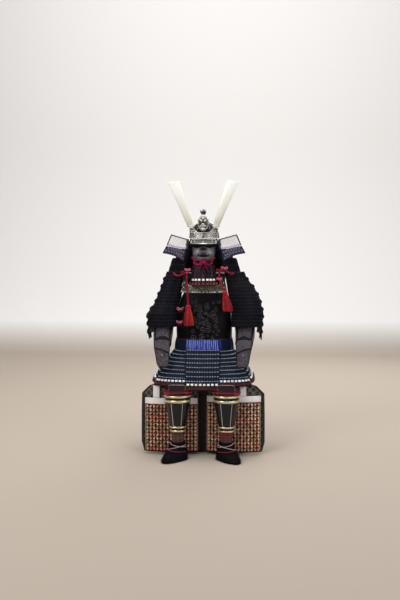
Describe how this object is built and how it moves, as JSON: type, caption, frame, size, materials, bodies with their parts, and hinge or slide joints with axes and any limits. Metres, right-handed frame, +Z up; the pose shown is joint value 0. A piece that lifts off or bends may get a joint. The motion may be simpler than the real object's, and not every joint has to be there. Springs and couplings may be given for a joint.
{
  "type": "samurai armour on a seat box stand",
  "caption": "Seated suit of laced samurai armour with horned helmet, mask, cuirass, tassets, thigh and shin guards, on a plain seat box stand, at doll scale.",
  "frame": {"origin": "on the ground under the middle of the set", "axes": "+X to the wearer's left, -Y to the front, +Z up"},
  "size_m": [0.1256, 0.1107, 0.278],
  "materials": {
    "black_iron": "dark russet-black iron, satin",
    "patterned_iron": "dark green-black ground with worn gilt pattern",
    "visor_leather": "pale printed leather with a silver rim",
    "black_lacing": "dense black-navy silk lacing over lacquered lames",
    "throat_lacing": "dark lames with mauve, white and brick-red lacing",
    "pale_leather": "off-white smoked leather with a faint grey pattern",
    "lattice_lames": "dark lames with small grey squares",
    "crest_metal": "tarnished silver-gilt, chased",
    "pale_horn": "pale ivory-gold lacquer, satin",
    "silver_mask": "old silver, softly polished",
    "crimson_cord": "crimson braided silk cord",
    "red_tassel": "bright red silk thread",
    "blue_lacing": "bright blue silk lacing with dark gaps",
    "navy_lacing": "navy silk lacing with pale blue lights, white and red bottom rows",
    "black_sleeve_cloth": "black quilted cloth",
    "grey_mail": "fine blackened mail and small plates",
    "black_brocade": "black brocade with a thin gold line pattern",
    "gilt_scales": "gilt scales laced with red and white cord",
    "white_leather": "white leather",
    "black_lacquer": "gloss black lacquer with gilt bands",
    "knee_quilting": "dark quilted cloth with a pale border",
    "gaiter_cloth": "dark red-brown cloth",
    "black_fur": "short black fur",
    "box_lacquer": "dark lacquered wood, satin",
    "stand_wood": "dark stained wood"
  },
  "bodies": {
    "root": {"helmet_bowl": "black_iron", "cuirass_front": "black_iron", "cuirass_back": "black_iron", "chest_plate": "patterned_iron", "visor": "visor_leather", "neck_guard_1": "black_lacing", "neck_guard_2": "black_lacing", "neck_guard_3": "black_lacing", "shoulder_guard_left": "black_lacing", "shoulder_guard_right": "black_lacing", "throat_guard": "throat_lacing", "turn_back_upper_left": "pale_leather", "turn_back_upper_right": "pale_leather", "turn_back_lower_left": "lattice_lames", "turn_back_lower_right": "lattice_lames", "crest_base": "crest_metal", "crest_lion": "crest_metal", "horn_left": "pale_horn", "horn_right": "pale_horn", "mask": "silver_mask", "chin_cord": "crimson_cord", "shoulder_cord_left": "crimson_cord", "shoulder_cord_right": "crimson_cord", "tassel_left": "red_tassel", "tassel_right": "red_tassel", "waist_lacing": "blue_lacing", "tasset_front": "navy_lacing", "tasset_fore_left": "navy_lacing", "tasset_fore_right": "navy_lacing", "tasset_side_left": "navy_lacing", "tasset_side_right": "navy_lacing", "tasset_back_left": "navy_lacing", "tasset_back_right": "navy_lacing", "sleeve_left": "black_sleeve_cloth", "sleeve_right": "black_sleeve_cloth", "shoulder_strap_left": "black_sleeve_cloth", "shoulder_strap_right": "black_sleeve_cloth", "forearm_guard_left": "grey_mail", "forearm_guard_right": "grey_mail", "hand_guard_left": "grey_mail", "hand_guard_right": "grey_mail", "thigh_cloth_left": "black_brocade", "thigh_cloth_right": "black_brocade", "thigh_plates_left": "gilt_scales", "thigh_plates_right": "gilt_scales", "thigh_bar_left": "white_leather", "thigh_bar_right": "white_leather", "thigh_tab_left": "white_leather", "thigh_tab_right": "white_leather", "shin_guard_left": "black_lacquer", "shin_guard_right": "black_lacquer", "knee_plate_left": "knee_quilting", "knee_plate_right": "knee_quilting", "gaiter_left": "gaiter_cloth", "gaiter_right": "gaiter_cloth", "boot_left": "black_fur", "boot_right": "black_fur", "seat_box": "box_lacquer", "stand_post": "stand_wood", "stand_head": "stand_wood"}
  },
  "joints": []
}
